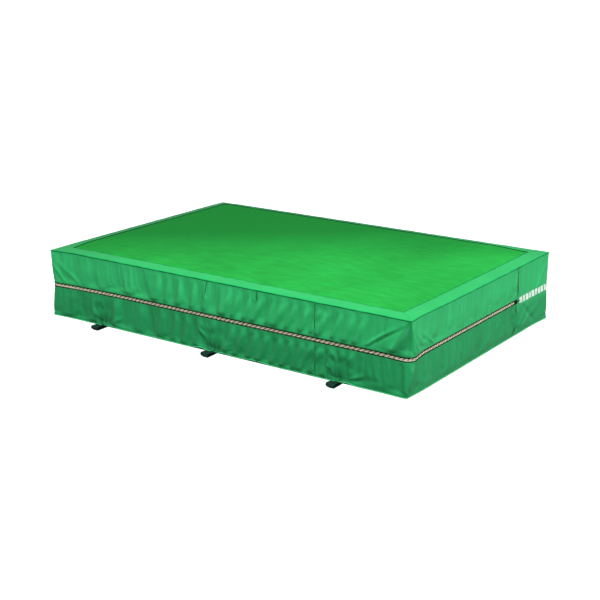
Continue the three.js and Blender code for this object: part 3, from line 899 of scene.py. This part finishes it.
def relaxed(name, rows, finish):
    """Hangs a wall as cloth between its sewn edges, a little too large for them, so that it settles into folds."""
    piece = grid_sheet(name, rows, finish, thickness=0)
    rest = np.array([v.co for v in piece.data.vertices])
    sewn = piece.vertex_groups.new(name="sewn")
    edge = np.zeros(rows.shape[:2], bool)
    edge[0] = edge[-1] = True
    edge[:, 0] = edge[:, -1] = True
    nearest = KDTree(len(rest))
    for k, point in enumerate(rest):
        nearest.insert(point, k)
    nearest.balance()
    sewn.add([nearest.find(point)[1] for point in rows[edge]], 1.0, "REPLACE")
    cloth = piece.modifiers.new("slack", "CLOTH")
    settings = cloth.settings
    settings.quality = 5
    settings.mass = 0.2
    settings.tension_stiffness = settings.compression_stiffness = 12
    settings.shear_stiffness = 6
    settings.bending_stiffness = 0.35
    settings.tension_damping = settings.compression_damping = 8
    settings.air_damping = 4
    settings.shrink_min = -0.016
    settings.vertex_group_mass = "sewn"
    settings.pin_stiffness = 1
    settings.effector_weights.gravity = 0.4
    cloth.collision_settings.use_collision = False
    cloth.collision_settings.use_self_collision = False
    scene = bpy.context.scene
    for frame_number in range(1, SETTLING + 1):
        scene.frame_set(frame_number)
    settled = piece.evaluated_get(bpy.context.evaluated_depsgraph_get())
    moved = np.array([v.co for v in settled.data.vertices])
    piece.modifiers.remove(cloth)
    scene.frame_set(1)
    step = moved - rest
    size = np.linalg.norm(step, axis=1, keepdims=True)
    level = rest[:, 2]
    free = smooth(0.004, 0.05, level - level.min()) * smooth(0.002, 0.03, level.max() - level)
    step *= MOST_MOVED * np.tanh(size / MOST_MOVED) / np.maximum(size, 1e-9) * free[:, None]
    piece.data.vertices.foreach_set("co", (rest + step).ravel())
    piece.data.update()
    return thicken(piece, CLOTH)


def wall_piece(name, node, start, end, low, high, folds, finish, rise=0.0095):
    """One piece of wall between two stations and two levels, its rows of points rise apart."""
    outline = Outline(spread(start, end, STEP))
    levels = spread(low, high, rise)
    piece = relaxed(name, wall_rows(outline, levels, wall_inset, wall_corner, folds(outline, levels)), finish)
    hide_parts(node)
    end - start
    return piece


def stays(piece):
    """The piece stands as the slack cover does, and stays on the mat."""
    settle(piece)
    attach(piece, MAT)


def folds_back(piece):
    """The piece stands as the slack cover does, its placement baked into its points."""
    settle(piece)
    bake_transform(piece)


def build_walls():
    seam = on_front(FRONT_SEAM_X)
    sides = (("right", "right", 0.0, seam), ("left", "front_left", seam, LEFT_SEAM))
    for half, low, high, folds, finish, fixing in (
            ("upper", ZIP_Z + ZIP_EDGE, WALL_TOP, upper_folds, WALL, folds_back),
            ("lower", HEM_Z, ZIP_Z - ZIP_EDGE, lower_folds, SHADED_LOWER_WALL, stays)):
        for side, node, start, end in sides:
            name = f"{half}_wall_{side}_cloth"
            fixing(wall_piece(name, f"{half}_wall_{node}", start, end, low, high, folds, finish))
    stays(wall_piece("rear_wall_cloth", "rear_wall", LEFT_SEAM, ROUND, HEM_Z, WALL_TOP, rear_folds, REAR_WALL,
                     rise=0.011))


# ---- Zip -----------------------------------------------------------------------------------------------------

ZIP_ENDS_IN = 0.0005  # the tapes end this far inside the seams
COIL_LEAN = 0.42


def along_zip(start, end, pitch, inset, z):
    """Places at an even pitch along the zip: point, direction and outward normal."""
    outline = Outline(np.arange(start, end, pitch))
    plan = outline.at(inset, CORNER - inset)
    for point, normal in zip(plan, outline.round):
        yield (point[0], point[1], z), (normal[1], -normal[0], 0), (normal[0], normal[1], 0)


def zip_strip(name, edges, inset, thickness, finish):
    """A strip along the whole zip, between two levels."""
    outline = Outline(spread(ZIP_ENDS_IN, LEFT_SEAM - ZIP_ENDS_IN, STEP))
    levels = np.linspace(min(edges), max(edges), 3)
    rows = wall_rows(outline, levels, lambda z: inset, lambda z: CORNER - inset)
    return grid_sheet(name, rows, finish, thickness)


def build_zip():
    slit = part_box("zip_tape_upper")[0][2] - ZIP_Z
    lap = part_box("zip_tape_upper")[1][2] - ZIP_Z
    first_tooth = SEAM_Y - TEETH_END
    tooth = bead(0.0052, 0.0024, 0.0030, sink=0.5)
    stitch = bead(0.0052, 0.0011, 0.0011)
    for level, side, cloth, fixing in (("upper", 1, WALL, folds_back), ("lower", -1, SHADED_LOWER_WALL, stays)):
        band = zip_strip(f"zip_{level}_tape", (ZIP_Z + side * slit, ZIP_Z + side * lap), TAPE_IN, 0.0014, TAPE)
        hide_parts(f"zip_tape_{level}")
        # The teeth lean, as a wound coil's turns do.
        line = along_zip(first_tooth + 0.002, LEFT_SEAM - first_tooth, 0.0038, TEETH_IN + 0.0016,
                         ZIP_Z + side * 0.0037)
        turns = [(at, Vector(along) * COIL_LEAN + Vector((0, 0, side)), outward) for at, along, outward in line]
        teeth = repeated(f"zip_{level}_teeth", tooth, turns, TEETH)
        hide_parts(f"zip_teeth_{level}")
        # The wall's folded edge beside the zip, and the stitches that hold the tape behind it.
        edges = (ZIP_Z + side * (ZIP_EDGE - 0.0004), ZIP_Z + side * (ZIP_EDGE + 0.012))
        facing = zip_strip(f"zip_{level}_facing", edges, WALL_IN + 0.0006, 0.001, cloth)
        seam = repeated(f"zip_{level}_stitches", stitch, along_zip(
            0.004, LEFT_SEAM - 0.004, 0.0075, WALL_IN - 0.0002, ZIP_Z + side * (ZIP_EDGE + 0.004)), GREEN_THREAD)
        # A thin dark cord along the folded edge: partly a dark binding, partly a painted shadow line of the gap
        # beside the tape.
        line = along_zip(0.001, LEFT_SEAM, 0.011, WALL_IN, ZIP_Z + side * (ZIP_EDGE - 0.0008))
        cord_and_shadow_line = cord_along(f"zip_{level}_piping", [place for place, _, _ in line], 0.0034, ZIP_EDGE_CORD_AND_SHADOW)
        for piece in (band, teeth, facing, seam, cord_and_shadow_line):
            fixing(piece)
    for node in ("zip_slider", "zip_pull", "zip_end_stop_left", "zip_end_stop_right"):
        softened(node, METAL)


def softened(node, finish):
    """A CAD piece with its edges eased."""
    source = frame["nodes"][node]
    bm = bmesh.new()
    bm.from_mesh(source.data)
    bmesh.ops.transform(bm, matrix=source.matrix_world, verts=bm.verts)
    bmesh.ops.remove_doubles(bm, verts=bm.verts, dist=1e-5)
    bmesh.ops.dissolve_limit(bm, angle_limit=math.radians(4), verts=bm.verts, edges=bm.edges)
    sharp = [e for e in bm.edges if len(e.link_faces) == 2 and e.calc_face_angle(0) > math.radians(35)]
    bevel(bm, sharp, 0.0004, 2, clamp_overlap=True)
    piece = as_object(bm, f"{node}_eased", finish, smooth_faces=False)
    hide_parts(node)
    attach(piece, source["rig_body"])


# ---- Top -----------------------------------------------------------------------------------------------------


def build_top():
    inner_x, inner_y = RIM_X - BORDER + 0.008, RIM_Y - BORDER + 0.008
    columns, lines = spread(-inner_x, inner_x, 0.014), spread(-inner_y, inner_y, 0.014)
    x, y = np.meshgrid(columns, lines)
    rng = random.Random(5)
    relief = np.zeros_like(x)
    for _ in range(90):
        # Faint drag lines in the mesh, most of them across the mat.
        cx, cy = rng.uniform(-inner_x, inner_x), rng.uniform(-inner_y, inner_y)
        angle = rng.gauss(1.25, 0.35)
        run = rng.uniform(0.10, 0.42)
        along = (x - cx) * math.cos(angle) + (y - cy) * math.sin(angle)
        across = -(x - cx) * math.sin(angle) + (y - cy) * math.cos(angle)
        height = rng.uniform(0.0012, 0.0038) * rng.choice((1, 1, -1))
        relief += height * np.exp(-((across / rng.uniform(0.010, 0.024)) ** 2) - (along / run) ** 2)
    to_edge = np.minimum(inner_x - np.abs(x), inner_y - np.abs(y))
    crown = 0.0095 * smooth(0.004, 0.05, to_edge) + 0.003 * smooth(0.03, 0.4, to_edge)
    ripple = 0.0008 * np.sin(x * 41 + y * 9) * np.exp(-to_edge / 0.08)
    z = TOP - 0.0012 + crown + (relief + ripple) * smooth(0.0, 0.04, to_edge) + edge_lift(x, y)
    top = grid_sheet("landing_mesh_cloth", np.dstack([x, y, z]), MESH, 0.0015)
    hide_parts("top_mesh_front", "top_mesh_rear")
    folds_back(top)


# The border's section, from its inner edge over the rim: inset, level, corner radius.
BORDER_SECTION = [
    (BORDER, TOP + 0.0004, 0.002),
    (BORDER, TOP + 0.0030, 0.002),
    (BORDER - 0.003, TOP + 0.0036, 0.002),
    (BORDER - 0.010, TOP + 0.0032, 0.002),
    (BORDER - 0.035, TOP + 0.0036, 0.002),
    (BORDER - 0.070, TOP + 0.0030, 0.003),
    (0.018, TOP + 0.0020, 0.004),
    (0.007, TOP + 0.0012, 0.008),
    (0.002, TOP - 0.0010, 0.011),
    (0.0003, TOP - 0.0038, RIM_CORNER),
    (0.0012, TOP - 0.0062, RIM_CORNER),
    (0.0040, TOP - 0.0068, RIM_CORNER),
]


MITRE_GAP = 0.0004  # half the line between two strips at a mitre
MITRED_SHARE = 0.95  # what the mitres leave of a strip's rectangle


def border_rows(start, end):
    outline = Outline(spread(start, end, 0.012))
    wobble = 0.0006 * np.sin(outline.s * 23) + 0.0005 * np.sin(outline.s * 61 + 1)
    # Along the back and the left end the border slopes down to its rim.
    slack = np.clip(smooth(-1.40, -1.49, outline.point[:, 0]) + smooth(0.90, 0.99, outline.point[:, 1]), 0, 1)
    rows = []
    for k, (inset, z, radius) in enumerate(BORDER_SECTION):
        plan = outline.at(inset, radius)
        level = z + wobble * (0.3 if k in (0, 1) else 1.0) - 0.005 * slack * smooth(BORDER, 0.0, inset)
        level += edge_lift(*plan.T) * smooth(0.0, BORDER, inset)
        rows.append(np.column_stack([plan, level]))
    return np.array(rows)


def lifts(piece):
    """The piece stands as the slack cover does, and goes up with the flap."""
    settle(piece)
    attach(piece, FLAP)


def build_border():
    # The mitres are at the middles of the path's corners.
    corners = [sum(leg[3] for leg in LEGS[:2 * k + 1]) + QUARTER / 2 for k in range(4)]
    corners.append(ROUND + corners[0])
    width = sum(math.dist(a[:2], b[:2]) for a, b in zip(BORDER_SECTION, BORDER_SECTION[1:]))
    for side, start, end, parts, fixing in zip(
            ("front", "left", "back", "right"), corners, corners[1:],
            (("",), ("_front", "_rear"), ("",), ("_front", "_rear")), (lifts, folds_back, stays, folds_back)):
        rows = border_rows(start + MITRE_GAP, end - MITRE_GAP)
        piece = grid_sheet(f"{side}_border_cloth", rows, BORDER_CLOTH, 0.0014, flip=True)
        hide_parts(*(f"{side}_border{part}" for part in parts))
        end - start
        width * (end - start) * MITRED_SHARE
        fixing(piece)

    # Two rows of stitches hold the border down on the mesh, and a cord is sewn in under the rim; it and a cord
    # along the border's inner edge are dark as painted shadow lines.
    stitch = bead(0.0058, 0.0012, 0.0012)
    around = Outline(np.arange(0.0, ROUND, 0.0095))
    for row, inset in (("inner", BORDER - 0.0045), ("outer", BORDER - 0.0105)):
        plan = around.at(inset, 0.002)
        step = np.roll(plan, -1, axis=0) - np.roll(plan, 1, axis=0)
        kept = np.linalg.norm(step, axis=1) > 0.012
        levels = TOP + 0.0038 + edge_lift(*plan.T) * smooth(0.0, BORDER, inset)
        places = [((*p, z), (*d, 0), (0, 0, 1)) for p, d, z in zip(plan[kept], step[kept], levels[kept])]
        folds_back(repeated(f"border_{row}_stitches", stitch, places, PALE_THREAD))
    line = Outline(np.linspace(0, ROUND, 760, endpoint=False))
    for name, inset, radius, z, puffed, thick in (("rim_cord", 0.0026, 0.010, TOP - 0.0082, 0, 0.0019),
                                                  ("inner_cord", BORDER + 0.0026, 0.002, TOP + 0.0016, 1, 0.0030)):
        plan = line.at(inset, radius)
        step = np.linalg.norm(np.roll(plan, -1, axis=0) - plan, axis=1)
        plan = plan[step > 0.004]
        path = np.column_stack([plan, z + puffed * edge_lift(*plan.T)])
        folds_back(cord_along(name, path, thick, CORD_AND_SHADOW_LINE, closed=True))


# ---- Base ----------------------------------------------------------------------------------------------------


def hem_lift(s):
    """How far the hem is drawn up off the floor along the front."""
    lift = np.zeros_like(s)
    for x, height, reach in ((-0.119, 0.011, 0.05), (0.09, 0.006, 0.06), (0.35, 0.008, 0.10), (-0.93, 0.006, 0.05),
                             (1.05, 0.006, 0.05), (0.70, 0.003, 0.08), (-0.5, 0.003, 0.1)):
        lift += height * np.exp(-(((s - on_front(x)) / reach) ** 2))
    return lift


def build_base():
    inset = HEM_IN + 0.001
    columns = spread(-RIM_X + inset, RIM_X - inset, 0.06)
    lines = spread(-RIM_Y + inset, RIM_Y - inset, 0.06)
    x, y = np.meshgrid(columns, lines)
    # The panel's corners follow the hem's.
    over_x = np.maximum(np.abs(x) - (columns[-1] - HEM_CORNER), 0)
    over_y = np.maximum(np.abs(y) - (lines[-1] - HEM_CORNER), 0)
    diagonal = np.hypot(over_x, over_y)
    pull = np.where(diagonal > HEM_CORNER, HEM_CORNER / np.maximum(diagonal, 1e-9), 1)
    px = np.sign(x) * (np.abs(x) - over_x * (1 - pull))
    py = np.sign(y) * (np.abs(y) - over_y * (1 - pull))
    panel = grid_sheet("base_cloth_panel", np.dstack([px, py, np.full_like(px, 0.0016)]), BASE, 0.0014)
    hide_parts("bottom_panel")
    stays(panel)
    line = Outline(np.linspace(0, ROUND, 900, endpoint=False))
    plan = line.at(HEM_IN - 0.002, HEM_CORNER)
    path = np.column_stack([plan, 0.0042 + hem_lift(line.s)])
    hem = cord_along("bottom_hem", path, 0.0036, HEM, closed=True)
    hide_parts("bottom_seam_binding")
    stays(hem)


# ---- Carry loops ---------------------------------------------------------------------------------------------

LOOP_TURNS = {  # each loop lies a little differently: a lift of its tip and a twist across it
    "front_left": (0.001, -0.24), "front_middle": (0.001, -0.26), "front_right": (0.001, -0.28),
    "back_left": (0.003, 0.03), "back_middle": (0.0, 0.02), "back_right": (0.005, -0.04),
}


def loop_path(reach, root_low, root_high, floor, tip_radius):
    """The strap's middle line in its own side view: out along the floor, round the tip and back to the seam."""
    out = [(0.0, root_low), (0.012, root_low - 0.0004), (0.024, floor + 0.0004), (0.040, floor)]
    flat = [(d, floor) for d in np.linspace(0.050, reach - tip_radius, 8)]
    tip = [(reach - tip_radius + tip_radius * math.sin(a), floor + tip_radius * (1 - math.cos(a)))
           for a in np.linspace(0.15, math.pi - 0.1, 12)]
    head = floor + 2 * tip_radius
    back = [(d, root_high + (head - root_high) * smooth(-0.01, 0.060, d))
            for d in np.linspace(reach - tip_radius - 0.006, 0.012, 12)]
    return out + flat + tip + back + [(0.0, root_high)]


def build_loops():
    thickness = 0.0021
    stitch = bead(0.0052, 0.0012, 0.0013)
    for name in LOOP_TURNS:
        side = -1 if name.startswith("front") else 1
        low, high = (np.array(corner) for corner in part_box(f"{name}_carry_loop"))
        tail_low, tail_high = (np.array(corner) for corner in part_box(f"{name}_loop_tail"))
        middle = (low[0] + high[0]) / 2
        width = high[0] - low[0]
        root_y = tail_high[1] if side > 0 else tail_low[1]
        tip_y = high[1] if side > 0 else low[1]
        reach = abs(tip_y - root_y) - thickness / 2
        floor = low[2] + thickness / 2
        tip_radius = (high[2] - low[2] - thickness) / 2
        lift, twist = LOOP_TURNS[name]
        roots = tail_low[2] + thickness / 2 + 0.0002, tail_high[2] - thickness / 2 - 0.0002
        path = loop_path(reach, *roots, floor, tip_radius)
        across = np.linspace(-width / 2, width / 2, 9)
        rows = []
        for out, z in path:
            share = out / reach
            tilt = twist * share * across
            curl = 0.0006 * np.cos(across / width * 2 * math.pi) * share
            level = z + lift * share**2 + np.maximum(tilt, 0) + curl * (1 if z > floor + tip_radius else 0)
            rows.append(np.column_stack([middle + across + 0.004 * side * share**2 * np.sign(twist),
                                         np.full_like(across, root_y + side * out), level]))
        loop = grid_sheet(f"{name}_webbing", np.array(rows), WEBBING, 0, flip=side < 0)
        thicken(loop, thickness, offset=0.0)
        edge = loop.modifiers.new("edge", "BEVEL")
        edge.width, edge.segments, edge.limit_method = 0.0006, 2, "ANGLE"
        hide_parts(f"{name}_carry_loop")
        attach(loop, f"{name}_carry_loop")
        tail = bevelled_box(f"{name}_webbing_tail", tail_low, tail_high, 0.0012, WEBBING)
        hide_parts(f"{name}_loop_tail")
        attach(tail, MAT)
        # The box of stitches through the tail.
        ends = sorted((root_y - side * 0.016, root_y - side * 0.070))
        half = width / 2 - 0.006
        a, b = ((middle + share * half, ends[0]) for share in (-1, 1))
        c, d = ((middle + share * half, ends[1]) for share in (1, -1))
        runs = ((a, b), (b, c), (c, d), (d, a), (a, c), (b, d))
        places = []
        for (x0, y0), (x1, y1) in runs:
            length = math.hypot(x1 - x0, y1 - y0)
            for t in np.arange(0.004, length - 0.003, 0.0072) / length:
                point = (x0 + t * (x1 - x0), y0 + t * (y1 - y0), tail_high[2])
                places.append((point, (x1 - x0, y1 - y0, 0), (0, 0, 1)))
        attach(repeated(f"{name}_tail_stitches", stitch, places, DARK_THREAD), MAT)


# ---- Foam ----------------------------------------------------------------------------------------------------


def build_foam():
    blocks = [node for node in frame["nodes"] if node.startswith("foam_")]
    outer_x = max(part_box(node)[1][0] for node in blocks)
    for node in blocks:
        low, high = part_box(node)
        block = bevelled_box(f"{node}_block", low, high, 0.010 if "base" in node else 0.005, FOAM, ends_at=outer_x)
        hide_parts(node)
        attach(block, MAT)


# ---- Stage ---------------------------------------------------------------------------------------------------


def turned_to(holder, place, aim):
    holder.location = place
    holder.rotation_euler = (Vector(aim) - Vector(place)).to_track_quat("-Z", "Y").to_euler()


def build_floor():
    bm = bmesh.new()
    bmesh.ops.create_grid(bm, x_segments=1, y_segments=1, size=200)
    ground = put("studio_floor", mesh_of(bm, "studio_floor"))
    paper = bpy.data.materials.new("studio_paper")
    paper.use_nodes = True
    shader = paper.node_tree.nodes["Principled BSDF"]
    for socket, value in (("Base Color", (0.86, 0.86, 0.86, 1)), ("Roughness", 0.9),
                          ("Emission Color", (1, 1, 1, 1)), ("Emission Strength", 0.35)):
        shader.inputs[socket].default_value = value
    ground.data.materials.append(paper)
    ground.visible_glossy = False
    ground.visible_diffuse = False  # the walls are lit by the studio's own dark floor, below


def build_studio():
    """Pale light from all round, brighter overhead, and a dark floor under the horizon."""
    world = bpy.data.worlds.new("studio")
    world.use_nodes = True
    sky = Nodes(world.node_tree)
    place = sky.node("ShaderNodeTexCoord").outputs["Generated"]
    height = sky.node("ShaderNodeSeparateXYZ", inputs={"Vector": place}).outputs[2]
    ramp = sky.node("ShaderNodeValToRGB", {"stops": ((0.0, (0.42, 0.43, 0.42, 1)), (0.7, (0.80, 0.80, 0.80, 1)))},
                    {"Fac": height})
    above = sky.node("ShaderNodeMath", {"operation": "GREATER_THAN"}, {0: height, 1: -0.02})
    light = sky.node("ShaderNodeMix", {"data_type": "RGBA"},
                     {0: above.outputs[0], 6: (0.10, 0.11, 0.10, 1), 7: ramp.outputs[0]})
    background = sky.tree.nodes["Background"]
    sky.feed(background.inputs["Color"], light.outputs[2])
    background.inputs["Strength"].default_value = 1.0
    bpy.context.scene.world = world


def add_light(name, kind, place, aim, energy, **shape):
    light = bpy.data.lights.new(name, kind)
    light.energy = energy
    for field, value in shape.items():
        setattr(light, field, value)
    turned_to(put(name, light), place, aim)


def build_stage():
    build_floor()
    build_studio()
    add_light("wide_key", "SUN", (4.0, -3.2, 5.6), (0, 0, 0), 2.9, angle=0.55)
    add_light("top_softbox", "AREA", (0.85, -1.0, 3.3), (0.85, -1.0, 0.5), 50, size=1.2)
    add_light("end_fill", "AREA", (5.4, 1.4, 0.9), (1.5, -0.1, 0.25), 28, size=2.0)
    camera = bpy.data.cameras.new("camera")
    camera.lens, camera.sensor_width = 72.53, 36
    holder = put("camera", camera)
    turned_to(holder, (4.8612, -6.9473, 2.6743), (0.1512, -0.2077, 0.2))
    bpy.context.scene.camera = holder
    bpy.context.scene.view_settings.view_transform = "Standard"


build_stage()
build_foam()
build_base()
build_walls()
build_zip()
build_top()
build_border()
build_loops()
